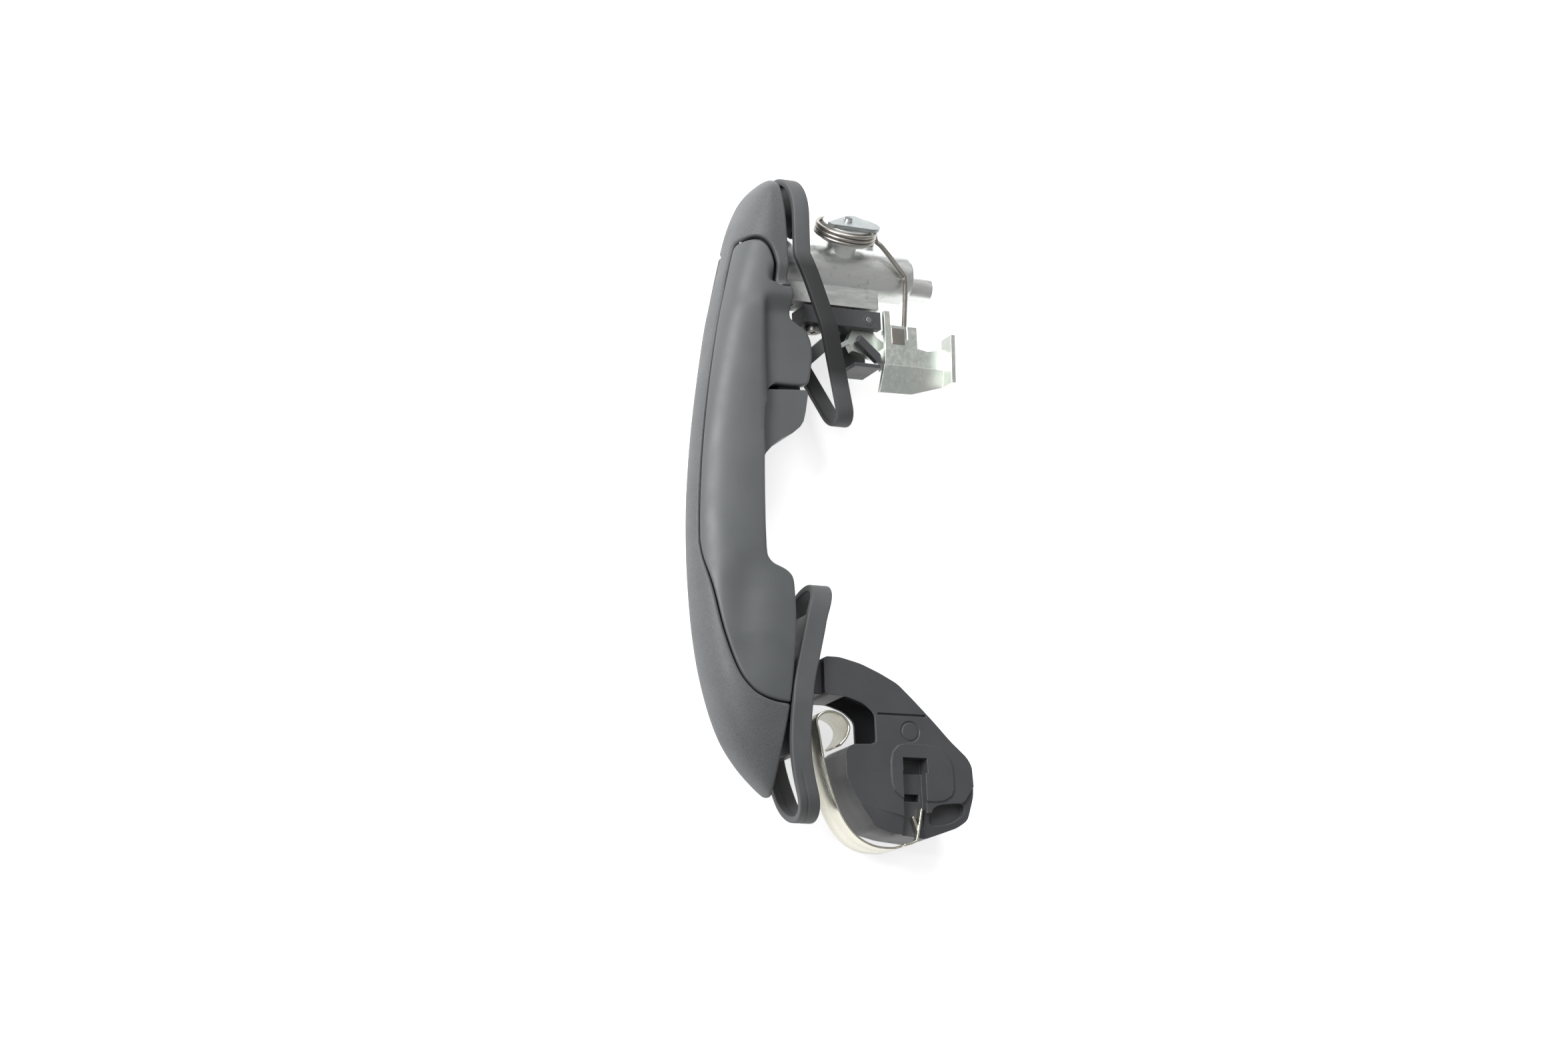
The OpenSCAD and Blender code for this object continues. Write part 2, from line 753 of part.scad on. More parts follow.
module hook_block() {
    color(black)
        difference() {
            union() {
                across(-hook_half, hook_half) hook_view();
                across(-neck_half, neck_half)
                    polygon([[131.4, -13.6], [131.4, -9.4], [134.6, -8.4], [134.6, 3], [145.2, 3],
                        [145.2, -6.8], [146.8, -8], [146.8, -13.6]]);
                translate([160, 23.4, hook_half - eps]) cube([19, 22.4, 0.6]);
            }
            // Window, guide channel and catch slot for the tongue of the leaf spring
            translate([165.2, 27.8, 3]) cube([4.6, 8.4, 10]);
            translate([169.7, 27.2, 5]) cube([25, 8.6, 10]);
            translate([176.2, 29, 2]) cube([2.4, 5.4, 10]);
            // Groove and round ejector mark on the near face
            translate([150.8, 18.6, hook_half - 0.7]) cube([0.8, 20, 2]);
            rod_z(3.4, hook_half - 0.4, hook_half + 1, [156.4, 31]);
            // Relief pocket on the far face
            translate([162, 14, -hook_half - 1]) cube([16, 28, 7]);
            // Stepped holes for the screws that hold it to the grip
            for (x = hook_screw_x)
                rod_y(screw_r, -20, 40, [x, 0]);
            for (x = hook_screw_x)
                rod_y(3.3, -8.6, 40, [x, 0]);
            // Chamfers on the free end
            translate([190.6, 20, hook_half]) rotate([0, 45, 0]) cube([5, 80, 7], center = true);
            translate([190.6, 20, -hook_half]) rotate([0, 45, 0]) cube([7, 80, 5], center = true);
        }
}

module hook_screws() {
    color(steel)
        for (x = hook_screw_x)
            screw_y(x, 0, -8.6, 16);
}

leaf_t = 0.8;
leaf_half = 5.6;
tongue_z = [5.4, 7.6];
leaf_line = [
    [161.2, 7.2], [158.5, 9.6], [155, 10.6], [152, 8.6], [150.6, 4.8], [151.4, 1.2], [153.8, -0.7],
    [157.2, -0.2], [162, 0.5], [168, 1.4], [175, 3.2], [182, 5.6], [187.4, 8.8], [191.2, 12.8],
    [193.3, 18], [193.6, 24.4], [192.6, 28.4]
];

module leaf_spring() {
    color([0.78, 0.77, 0.7]) {
        across(-leaf_half, leaf_half) ribbon(curve(leaf_line, 3), leaf_t);
        across(tongue_z[0], tongue_z[1])
            ribbon([[193, 27.4], [191.8, 31], [190, 32.2], [180.8, 34.2]], leaf_t);
        across(tongue_z[0], 7.2) polygon([[187, 32.8], [183.4, 31.4], [183.8, 30.7], [188.4, 32.2]]);
    }
}

outer_cover();
grip_body();
cover_screws();
lock_bezel();
lock_housing();
housing_screws();
lock_plug();
wafers();
shutter_pin();
dust_shutter();
tailpiece();
tail_screws();
rear_seal();
front_seal();
pivot_bracket();
bracket_screws();
crank_pin();
pin_clips();
bellcrank();
push_pad();
spring_post();
torsion_spring();
spring_plate();
trigger();
trigger_pad();
trigger_pin();
pivot_bushes();
hook_block();
hook_screws();
leaf_spring();
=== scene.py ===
# Car door handle: the look of the part, built around the imported CAD frame. Lengths of shapes are in mm.
# The node settings of materials, the camera, the floor and the lights are in metres.
import json
import math

import bmesh
import bpy
import numpy as np
from mathutils import Matrix, Vector


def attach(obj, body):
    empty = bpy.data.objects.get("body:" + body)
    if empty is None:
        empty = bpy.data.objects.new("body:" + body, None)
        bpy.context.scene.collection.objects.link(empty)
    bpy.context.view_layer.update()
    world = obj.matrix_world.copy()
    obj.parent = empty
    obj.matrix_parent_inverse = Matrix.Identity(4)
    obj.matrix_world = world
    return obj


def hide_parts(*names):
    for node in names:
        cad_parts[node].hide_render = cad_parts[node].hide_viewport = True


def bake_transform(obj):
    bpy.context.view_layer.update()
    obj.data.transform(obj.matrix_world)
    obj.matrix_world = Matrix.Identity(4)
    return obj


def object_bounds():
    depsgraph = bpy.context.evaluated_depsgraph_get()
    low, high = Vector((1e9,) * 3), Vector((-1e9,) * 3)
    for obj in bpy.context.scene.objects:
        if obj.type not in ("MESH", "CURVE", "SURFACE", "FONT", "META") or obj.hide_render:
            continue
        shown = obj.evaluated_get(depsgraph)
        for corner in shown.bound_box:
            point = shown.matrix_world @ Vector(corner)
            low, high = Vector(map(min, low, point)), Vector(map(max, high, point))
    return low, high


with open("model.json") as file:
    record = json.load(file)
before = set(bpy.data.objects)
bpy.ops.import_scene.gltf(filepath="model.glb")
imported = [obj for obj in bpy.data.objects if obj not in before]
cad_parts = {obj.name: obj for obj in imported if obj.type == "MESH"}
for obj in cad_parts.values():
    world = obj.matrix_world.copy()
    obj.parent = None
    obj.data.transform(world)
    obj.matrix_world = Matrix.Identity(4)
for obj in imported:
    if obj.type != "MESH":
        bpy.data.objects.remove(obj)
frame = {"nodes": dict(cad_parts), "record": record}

cad_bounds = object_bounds()
MM = 0.001
EDGE_ANGLE = 32.0    # edges sharper than this are rounded
TINY = 0.001         # points closer than this are merged in blocks and sweeps

# ---------------------------------------------------------------- small tools


def smooth_line(points, steps=8):
    """Catmull-Rom curve through given points, as an array."""
    p = np.array(points, float)
    ext = np.vstack([p[:1], p, p[-1:]])
    out = []
    for i in range(len(p) - 1):
        a, b, c, d = ext[i], ext[i + 1], ext[i + 2], ext[i + 3]
        for k in range(steps):
            t = k / steps
            out.append(0.5 * ((2 * b) + (c - a) * t + (2 * a - 5 * b + 4 * c - d) * t * t
                              + (3 * b - a - 3 * c + d) * t ** 3))
    out.append(p[-1])
    return np.array(out)


def round_corners(points, times=3, closed=True):
    """Cuts the corners of an outline several times, which rounds it."""
    p = np.array(points, float)
    for _ in range(times):
        q = np.roll(p, -1, axis=0) if closed else p[1:]
        a = p if closed else p[:-1]
        cut = np.stack([0.8 * a + 0.2 * q, 0.2 * a + 0.8 * q], axis=1).reshape(-1, p.shape[1])
        p = cut if closed else np.vstack([p[:1], cut, p[-1:]])
    return p


def fillet(points, radius):
    """Rounds each corner of a closed outline by at most radius."""
    p = np.array(points, float)
    out = []
    for i in range(len(p)):
        a, b, c = p[i - 1], p[i], p[(i + 1) % len(p)]
        u, v = a - b, c - b
        lu, lv = np.linalg.norm(u), np.linalg.norm(v)
        d = min(radius, 0.4 * lu, 0.4 * lv)
        start, end = b + u / lu * d, b + v / lv * d
        for t in (0, 0.25, 0.5, 0.75, 1):
            out.append((1 - t) ** 2 * start + 2 * t * (1 - t) * b + t * t * end)
    return np.array(out)


def smoothstep(x, a, b):
    t = np.clip((np.asarray(x, float) - a) / (b - a), 0, 1)
    return t * t * (3 - 2 * t)


def inside_distance(px, py, outline):
    """Distance to an outline in the plane, positive inside it."""
    poly = np.array(outline, float)
    x, y = np.asarray(px, float).ravel(), np.asarray(py, float).ravel()
    best = np.full(x.shape, 1e9)
    inside = np.zeros(x.shape, bool)
    for a, b in zip(poly, np.roll(poly, -1, axis=0)):
        d = b - a
        n = max(d @ d, 1e-12)
        t = np.clip(((x - a[0]) * d[0] + (y - a[1]) * d[1]) / n, 0, 1)
        best = np.minimum(best, np.hypot(x - a[0] - t * d[0], y - a[1] - t * d[1]))
        if a[1] != b[1]:
            beside = x < (b[0] - a[0]) * (y - a[1]) / (b[1] - a[1]) + a[0]
            inside ^= ((a[1] > y) != (b[1] > y)) & beside
    return np.where(inside, best, -best).reshape(np.shape(px))


def soft_min(a, b, k):
    """Smaller of two fields, with a rounded corner where they meet."""
    h = np.clip(0.5 + 0.5 * (b - a) / k, 0, 1)
    return b * (1 - h) + a * h - k * h * (1 - h)


def make_object(name, points, faces, smooth=True, scale=MM):
    mesh = bpy.data.meshes.new(name)
    mesh.from_pydata([tuple(float(c) * scale for c in p) for p in points], [], [list(f) for f in faces])
    mesh.validate()
    obj = bpy.data.objects.new(name, mesh)
    bpy.context.scene.collection.objects.link(obj)
    for poly in mesh.polygons:
        poly.use_smooth = smooth
    return obj


def clean(obj, merge):
    """Merges points that are that close, and turns every face outward."""
    bm = bmesh.new()
    bm.from_mesh(obj.data)
    bmesh.ops.remove_doubles(bm, verts=bm.verts, dist=merge * MM)
    bmesh.ops.dissolve_degenerate(bm, edges=bm.edges, dist=0.005 * MM)
    bmesh.ops.recalc_face_normals(bm, faces=bm.faces)
    bm.to_mesh(obj.data)
    bm.free()
    return obj


def apply_modifiers(obj):
    graph = bpy.context.evaluated_depsgraph_get()
    mesh = bpy.data.meshes.new_from_object(obj.evaluated_get(graph))
    old = obj.data
    obj.modifiers.clear()
    obj.data = mesh
    mesh.name = obj.name
    bpy.data.meshes.remove(old)
    return obj


def cut_with(obj, cutters, operation="DIFFERENCE"):
    """Cuts or joins closed meshes, and removes them."""
    for cutter in cutters:
        mod = obj.modifiers.new("cut", "BOOLEAN")
        mod.operation = operation
        mod.solver = "EXACT"
        mod.object = cutter
        apply_modifiers(obj)
        bpy.data.objects.remove(cutter)
    return obj


def soften(obj, width, segments=3, angle=EDGE_ANGLE):
    """Rounds the edges that are sharper than angle."""
    mod = obj.modifiers.new("round", "BEVEL")
    mod.width = width * MM
    mod.segments = segments
    mod.limit_method = "ANGLE"
    mod.angle_limit = math.radians(angle)
    mod.harden_normals = False
    apply_modifiers(obj)
    for poly in obj.data.polygons:
        poly.use_smooth = True
    sharp = obj.modifiers.new("normals", "WEIGHTED_NORMAL")
    sharp.keep_sharp = True
    sharp.weight = 60
    return apply_modifiers(obj)


def between(name, bottom, top):
    """Closed block between two rings with as many points."""
    n = len(bottom)
    faces = [list(range(n)), list(range(2 * n - 1, n - 1, -1))]
    faces += [[i, n + i, n + (i + 1) % n, (i + 1) % n] for i in range(n)]
    return clean(make_object(name, bottom + top, faces, smooth=False), TINY)


def prism(name, outline, low, high, axis="z"):
    """Closed block with that outline: in x and y along z, or in x and z along y."""
    turn = {"z": lambda a, b, h: (a, b, h), "y": lambda a, b, h: (a, h, b)}[axis]
    return between(name, [turn(a, b, low) for a, b in outline], [turn(a, b, high) for a, b in outline])


def block(name, low, high):
    (x0, y0, z0), (x1, y1, z1) = low, high
    return prism(name, [(x0, y0), (x1, y0), (x1, y1), (x0, y1)], z0, z1)


def disc(name, centre, radius, low, high, axis="z", sides=48):
    ring = [(centre[0] + a, centre[1] + b) for a, b in circle_section(radius, sides)]
    return prism(name, ring, low, high, axis)


def sweep(name, path, section, closed=False, up=None):
    """Sweeps a section, fixed or a function of the step, along a path without twisting it."""
    p = np.array(path, float)
    n = len(p)
    if closed:
        tangent = np.roll(p, -1, axis=0) - np.roll(p, 1, axis=0)
    else:
        tangent = np.gradient(p, axis=0)
    tangent /= np.linalg.norm(tangent, axis=1)[:, None]
    first_up = up if up is not None else (0.31, 0.17, 0.93)
    side = np.cross(tangent[0], first_up)
    side /= np.linalg.norm(side)
    pts = []
    for i in range(n):
        if up is not None:
            side = np.cross(tangent[i], up)
        else:
            side = side - tangent[i] * (side @ tangent[i])
        side /= np.linalg.norm(side)
        other = np.cross(tangent[i], side)
        for a, b in section(i) if callable(section) else section:
            pts.append(p[i] + a * side + b * other)
    m = len(section(0) if callable(section) else section)
    faces = []
    for i in range(n if closed else n - 1):
        j = (i + 1) % n
        for k in range(m):
            q = (k + 1) % m
            faces.append([i * m + k, i * m + q, j * m + q, j * m + k])
    if not closed:
        faces.append(list(range(m))[::-1])
        faces.append([(n - 1) * m + k for k in range(m)])
    return clean(make_object(name, pts, faces), TINY)


def circle_section(radius, sides=16):
    return [(radius * math.cos(2 * math.pi * k / sides), radius * math.sin(2 * math.pi * k / sides))
            for k in range(sides)]


def rounded_box_section(width, height, radius, steps=3):
    out = []
    for cx, cy, start in ((1, 1, 0), (-1, 1, 90), (-1, -1, 180), (1, -1, 270)):
        for k in range(steps + 1):
            a = math.radians(start + 90 * k / steps)
            out.append((cx * (width / 2 - radius) + radius * math.cos(a),
                        cy * (height / 2 - radius) + radius * math.sin(a)))
    return out


def resample(points, spacing):
    """Points at an even spacing along a closed outline."""
    p = np.array(points, float)
    p = np.vstack([p, p[:1]])
    s = np.concatenate([[0], np.cumsum(np.linalg.norm(np.diff(p, axis=0), axis=1))])
    n = max(8, int(round(s[-1] / spacing)))
    at = np.linspace(0, s[-1], n, endpoint=False)
    return np.stack([np.interp(at, s, p[:, k]) for k in range(p.shape[1])], axis=1)


# ---------------------------------------------------------------- materials


def new_material(name):
    mat = bpy.data.materials.new(name)
    mat.use_nodes = True
    tree = mat.node_tree
    tree.nodes.clear()
    out = tree.nodes.new("ShaderNodeOutputMaterial")
    shader = tree.nodes.new("ShaderNodeBsdfPrincipled")
    tree.links.new(shader.outputs["BSDF"], out.inputs["Surface"])
    return mat, tree, shader


def noise(tree, scale, detail=3.0, rough=0.55, stretch=(1, 1, 1)):
    coord = tree.nodes.new("ShaderNodeTexCoord")
    mapping = tree.nodes.new("ShaderNodeMapping")
    mapping.inputs["Scale"].default_value = stretch
    tex = tree.nodes.new("ShaderNodeTexNoise")
    tex.inputs["Scale"].default_value = scale
    tex.inputs["Detail"].default_value = detail
    tex.inputs["Roughness"].default_value = rough
    tree.links.new(coord.outputs["Object"], mapping.inputs["Vector"])
    tree.links.new(mapping.outputs["Vector"], tex.inputs["Vector"])
    return tex.outputs["Fac"]


def ramp(tree, source, low, high, at=(0.3, 0.7)):
    """Maps a factor onto a range of numbers."""
    node = tree.nodes.new("ShaderNodeMapRange")
    node.inputs["From Min"].default_value = at[0]
    node.inputs["From Max"].default_value = at[1]
    node.inputs["To Min"].default_value = low
    node.inputs["To Max"].default_value = high
    tree.links.new(source, node.inputs["Value"])
    return node.outputs["Result"]


def mix(tree, factor, a, b, kind="MIX"):
    """Mixes two colours; each is a colour or a socket."""
    node = tree.nodes.new("ShaderNodeMix")
    node.data_type = "RGBA"
    node.blend_type = kind
    if isinstance(factor, (int, float)):
        node.inputs["Factor"].default_value = factor
    else:
        tree.links.new(factor, node.inputs["Factor"])
    for socket, value in (("A", a), ("B", b)):
        target = [s for s in node.inputs if s.name == socket and s.type == "RGBA"][0]
        if isinstance(value, (tuple, list)):
            target.default_value = (*value, 1)
        else:
            tree.links.new(value, target)
    return [s for s in node.outputs if s.type == "RGBA"][0]


def edge_mask(tree, radius):
    """About 1 along sharp edges and 0 on flat faces, from the rounded normal."""
    bevel = tree.nodes.new("ShaderNodeBevel")
    bevel.samples = 4
    bevel.inputs["Radius"].default_value = radius
    geometry = tree.nodes.new("ShaderNodeNewGeometry")
    dot = tree.nodes.new("ShaderNodeVectorMath")
    dot.operation = "DOT_PRODUCT"
    tree.links.new(bevel.outputs["Normal"], dot.inputs[0])
    tree.links.new(geometry.outputs["Normal"], dot.inputs[1])
    return ramp(tree, dot.outputs["Value"], 1.0, 0.0, (0.80, 0.99)), bevel.outputs["Normal"]


def bump(tree, height, strength, distance, normal=None):
    node = tree.nodes.new("ShaderNodeBump")
    node.inputs["Strength"].default_value = strength
    node.inputs["Distance"].default_value = distance
    tree.links.new(height, node.inputs["Height"])
    if normal is not None:
        tree.links.new(normal, node.inputs["Normal"])
    return node.outputs["Normal"]


def along_x(tree, stops):
    """Factor that changes along the handle: stops are (x in mm, factor)."""
    coord = tree.nodes.new("ShaderNodeTexCoord")
    split_xyz = tree.nodes.new("ShaderNodeSeparateXYZ")
    tree.links.new(coord.outputs["Object"], split_xyz.inputs["Vector"])
    low, high = stops[0][0], stops[-1][0]
    span = tree.nodes.new("ShaderNodeMapRange")
    span.inputs["From Min"].default_value = low * MM
    span.inputs["From Max"].default_value = high * MM
    tree.links.new(split_xyz.outputs["X"], span.inputs["Value"])
    curve = tree.nodes.new("ShaderNodeValToRGB")
    for k, (x, v) in enumerate(stops):
        e = curve.color_ramp.elements[k] if k < 2 else curve.color_ramp.elements.new(0.5)
        e.position = (x - low) / (high - low)
        e.color = (v, v, v, 1)
    tree.links.new(span.outputs["Result"], curve.inputs["Fac"])
    return curve.outputs["Color"]


def plastic(name, dark, light, rough, grain, bump_height, worn, speck=0.0, soft_edge=False, painted_shade=()):
    """Moulded plastic or rubber: fine grain, faint clouds of colour, edges rubbed lighter, and painted shade
    along the handle where given.
    """
    mat, tree, shader = new_material(name)
    fine = noise(tree, grain, 2.0, 0.6)
    clouds = noise(tree, 38.0, 3.0)
    base = mix(tree, ramp(tree, clouds, 0.0, 1.0), dark, light)
    if speck:
        pits = ramp(tree, fine, 0.0, 1.0, (0.34, 0.62))
        base = mix(tree, speck, base, mix(tree, pits, tuple(0.45 * c for c in dark), light))
    mask, rounded = edge_mask(tree, 0.0003)
    base = mix(tree, mask, base, worn)
    # Painted shade: the colour darkens along the handle where the seals lie in shade
    if painted_shade:
        base = mix(tree, along_x(tree, painted_shade), base, tuple(0.3 * c for c in dark))
    tree.links.new(base, shader.inputs["Base Color"])
    broad = ramp(tree, noise(tree, 120.0, 4.0), rough - 0.05, rough + 0.06)
    tree.links.new(broad, shader.inputs["Roughness"])
    normal = bump(tree, fine, 0.5, bump_height, rounded if soft_edge else None)
    tree.links.new(normal, shader.inputs["Normal"])
    shader.inputs["Specular IOR Level"].default_value = 0.5
    return mat


def metal(name, tint_a, tint_b, rough, worn, streak=(1, 1, 1), grain=900.0, bump_height=0.00002, spots=0.0,
          spot_colour=(0.1, 0.1, 0.1)):
    """Metal: two tints in clouds, brushed or cast roughness, small dull spots, and bright rubbed edges."""
    mat, tree, shader = new_material(name)
    clouds = noise(tree, 110.0, 4.0, 0.6, streak)
    fine = noise(tree, grain, 3.0, 0.6, streak)
    base = mix(tree, ramp(tree, clouds, 0.0, 1.0), tint_a, tint_b)
    if spots:
        dull = ramp(tree, noise(tree, 420.0, 2.0), 0.0, spots, (0.58, 0.72))
        base = mix(tree, dull, base, spot_colour)
    mask, rounded = edge_mask(tree, 0.00025)
    base = mix(tree, mask, base, worn)
    tree.links.new(base, shader.inputs["Base Color"])
    shader.inputs["Metallic"].default_value = 1.0
    tree.links.new(ramp(tree, fine, rough - 0.07, rough + 0.1), shader.inputs["Roughness"])
    tree.links.new(bump(tree, fine, 0.35, bump_height, rounded), shader.inputs["Normal"])
    return mat


# Painted shade on the seals, how dark they are along the handle: (x, factor)
SEAL_PAINTED_SHADE = [(-10, 0), (0, 0.1), (5, 1), (38, 1), (44, 0.1), (50, 0.1), (112, 0.1), (124, 0.75), (160, 0.85),
              (172, 0.3), (186, 0.1)]
M = {
    "grained_plastic": plastic("grained_plastic", (0.082, 0.085, 0.090), (0.105, 0.109, 0.114), 0.52, 2300.0,
                               0.00010, (0.19, 0.19, 0.195), speck=0.35),
    "smooth_plastic": plastic("smooth_plastic", (0.078, 0.084, 0.085), (0.096, 0.101, 0.103), 0.44, 3600.0,
                              0.00003, (0.20, 0.20, 0.205), speck=0.10),
    "black_plastic": plastic("black_plastic", (0.050, 0.051, 0.055), (0.066, 0.067, 0.072), 0.40, 2600.0,
                             0.00004, (0.13, 0.13, 0.135), speck=0.12, soft_edge=True),
    # The seal rubber carries painted shade along the handle
    "seal_rubber": plastic("seal_rubber", (0.075, 0.077, 0.080), (0.100, 0.102, 0.104), 0.62, 3000.0,
                           0.00004, (0.15, 0.15, 0.15), speck=0.15,
                           painted_shade=SEAL_PAINTED_SHADE),
    "zinc_casting": metal("zinc_casting", (0.70, 0.73, 0.72), (0.82, 0.82, 0.80), 0.36, (0.80, 0.81, 0.80),
                          streak=(1, 0.2, 1), spots=0.3, spot_colour=(0.34, 0.37, 0.35),
                          bump_height=0.000006),
    "zinc_plate": metal("zinc_plate", (0.66, 0.72, 0.68), (0.78, 0.79, 0.74), 0.40, (0.86, 0.87, 0.85),
                        spots=0.10, spot_colour=(0.50, 0.55, 0.51), bump_height=0.000004),
    # Painted shade: a darker copy of the zinc plate
    "zinc_plate_painted_shade": metal("zinc_plate_painted_shade", (0.34, 0.37, 0.37), (0.42, 0.45, 0.45), 0.45, (0.55, 0.57, 0.57),
                          bump_height=0.000004),
    "bright_steel": metal("bright_steel", (0.52, 0.51, 0.48), (0.60, 0.59, 0.56), 0.28, (0.75, 0.75, 0.73),
                          bump_height=0.000005),
    "fastener_steel": metal("fastener_steel", (0.28, 0.27, 0.26), (0.38, 0.37, 0.35), 0.36,
                            (0.55, 0.55, 0.53), bump_height=0.000006),
    "plug_metal": metal("plug_metal", (0.50, 0.48, 0.43), (0.58, 0.56, 0.51), 0.30, (0.70, 0.68, 0.63),
                        bump_height=0.000006),
    "spring_wire": metal("spring_wire", (0.34, 0.32, 0.29), (0.48, 0.46, 0.43), 0.34, (0.55, 0.53, 0.49),
                         grain=2600.0, bump_height=0.000005),
    "spring_strip": metal("spring_strip", (0.56, 0.55, 0.46), (0.68, 0.66, 0.58), 0.27, (0.8, 0.78, 0.7),
                          streak=(0.25, 0.25, 3.0), grain=900.0, bump_height=0.000003),
    "wafer_brass": metal("wafer_brass", (0.70, 0.52, 0.25), (0.78, 0.60, 0.32), 0.3, (0.86, 0.7, 0.42)),
}


def dress(obj, material, body, replaces=()):
    """Gives a piece its material and its body, and hides the CAD nodes it stands for."""
    obj.data.materials.clear()
    obj.data.materials.append(M[material])
    if body:
        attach(obj, body)
    if replaces:
        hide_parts(*replaces)
    return obj


# ---------------------------------------------------------------- the shell: crown, plan and sections

X_LOW, X_HIGH = -28.4, 179.2    # ends of the shell
CROWN = [(-28.4, -8.0), (-26.6, -11.6), (-22, -15.9), (-12, -20.6), (0, -24.4), (15, -28.5), (30, -32),
         (50, -35.8), (70, -38.6), (90, -40.2), (110, -40.2), (130, -38.7), (146, -35.8), (159, -31.8),
         (168, -26.6), (175, -20.5), (179, -16)]
PLAN = [(-28.4, 0.3), (-28.0, 3.6), (-26.6, 7.2),
                                                         (-22.5, 11.8), (-13, 14.6), (0, 15.2),
                                                         (15, 14.7), (30, 13.8), (50, 13.2), (75, 13),
                                                         (100, 13.3), (120, 13.9), (136, 13.6),
                                                         (150, 12.2), (162, 9.8), (171, 6.8), (177, 3.6),
                                                         (179.2, 0.4)]
WIDEST = [(-28.4, -6.8), (-24.5, -9.2), (-17, -12), (12, -12), (22, -15.5), (40, -16.6), (100, -17.5),
          (125, -19), (150, -19.5), (168, -17.5), (179.2, -15.5)]
BACK = [(-45, -60), (-45, -8), (11.8, -8), (13.6, -6.1), (21.8, -6.7), (23.6, -4), (25.5, -0.6),
        (29.2, 1.2), (34.4, 1.5), (41.5, 0.4), (44.6, -0.8), (44.6, -17.4), (101.8, -19.5), (105, -17.7),
        (107, -12.7), (109, -10.6), (112, -10.1), (126, -10.2), (150, -12.6), (166, -15.2), (182, -17),
        (195, -17), (195, -60)]
ARCH = [(11.4, -12.8), (6.3, -13), (2.5, -13.8), (-0.9, -15.5), (-3.1, -18.8), (-2.8, -23.1),
        (-0.6, -26.2), (3.6, -29), (8.6, -31.6)]
TAIL = [(100, -39.6), (111.6, -36.8), (126.2, -33.9), (139.5, -29.6), (145.6, -25.5), (148.2, -21.5),
        (149.5, -17)]
STRIP_HALF = 5.3                   # half the width of the strip on the crown
SKIRT = 3.2                        # the sides run down to this y before the back is cut
SEAM, WIDE_SEAM = 0.42, 0.75       # gap of the parting line, and what the arch adds to it
COVER_WALL, GRIP_WALL = 2.4, 2.8
SUNK = 2.9                         # how far the grip lies below the cover
LINER_DEPTH = 3.0

crown_line, plan_line, widest_line = smooth_line(CROWN), smooth_line(PLAN), smooth_line(WIDEST)
grip_outline = np.vstack([[(12.9, 20), (12.4, -10)], smooth_line(ARCH, 5), [(9, -60), (95, -60)],
                          smooth_line(TAIL, 5), [(150, -12), (151, 20)]])
back_outline = round_corners(BACK, 2)


def table(line, x):
    return np.interp(x, line[:, 0], line[:, 1])


def recess(x, y):
    """How far the side wall is sunk: the flare behind the grip, the valley at its end, the cap's corner."""
    flare = 3.3 * smoothstep(x, 14.5, 21) * (1 - smoothstep(x, 60, 64)) * smoothstep(y, -17.6, -14.6)
    valley_y = np.interp(x, [100, 110, 128, 142, 152], [-24, -27, -29, -25, -21])
    across = np.exp(-((y - valley_y) / 6.5) ** 2)
    valley = 2.0 * smoothstep(x, 98, 116) * (1 - smoothstep(x, 132, 150)) * across
    corner = 2.0 * smoothstep(x, 4.5, 10.5) * (1 - smoothstep(x, 11.2, 11.6)) * smoothstep(y, -15.5, -13.2)
    return flare + valley + corner


def shell_grid():
    """Points of the whole outer surface: stations along x, and a ring from one back edge over the crown."""
    x = np.concatenate([X_LOW + 5.2 * (1 - np.cos(np.linspace(0, np.pi / 2, 13))),
                        np.arange(-22.4, 168, 0.85),
                        X_HIGH - 11.2 * (1 - np.cos(np.linspace(np.pi / 2, 0, 17)))])
    x = np.unique(np.round(x, 4))
    a = np.radians(np.linspace(-90, 90, 61))
    straight = np.linspace(3.0, 0.0, 27)[:-1]
    w, top, wide = table(plan_line, x), table(crown_line, x), table(widest_line, x)
    rows = []
    for i in range(len(x)):
        h = max(0.8, wide[i] - top[i])
        dome_z = np.sign(np.sin(a)) * w[i] * np.abs(np.sin(a)) ** 0.88
        dome_y = wide[i] - h * np.abs(np.cos(a)) ** 0.82
        side_y = wide[i] + (SKIRT - wide[i]) * straight / 3.0
        y = np.concatenate([side_y, dome_y, side_y[::-1]])
        z = np.concatenate([np.full(len(side_y), -w[i]), dome_z, np.full(len(side_y), w[i])])
        rows.append(np.stack([np.full(len(y), x[i]), y, z], axis=1))
    p = np.array(rows)
    sunk = recess(p[..., 0], p[..., 1])
    share = np.clip(np.abs(p[..., 2]) / np.maximum(w[:, None], 0.1), 0, 1) ** 3
    p[..., 2] -= np.sign(p[..., 2]) * np.minimum(sunk * share, 0.8 * np.abs(p[..., 2]))
    return p


def surface_normals(p):
    du, dv = np.gradient(p, axis=0), np.gradient(p, axis=1)
    n = np.cross(du, dv)
    n /= np.maximum(np.linalg.norm(n, axis=2), 1e-9)[..., None]
    mid = p.shape[1] // 2
    flip = np.sign((n[:, mid] * np.array([0, -1, 0])).sum(1))
    return n * np.where(flip == 0, 1, flip)[:, None, None]


def on_surface(p, field):
    """Turns a field into a distance along the surface, near where it is zero."""
    du, dv = np.gradient(p, axis=0), np.gradient(p, axis=1)
    fu, fv = np.gradient(field, axis=0), np.gradient(field, axis=1)
    e, f, g = (du * du).sum(2), (du * dv).sum(2), (dv * dv).sum(2)
    det = np.maximum(e * g - f * f, 1e-9)
    slope = np.sqrt(np.maximum((g * fu * fu - 2 * f * fu * fv + e * fv * fv) / det, 1e-9))
    return field / np.clip(slope, 0.35, 3)


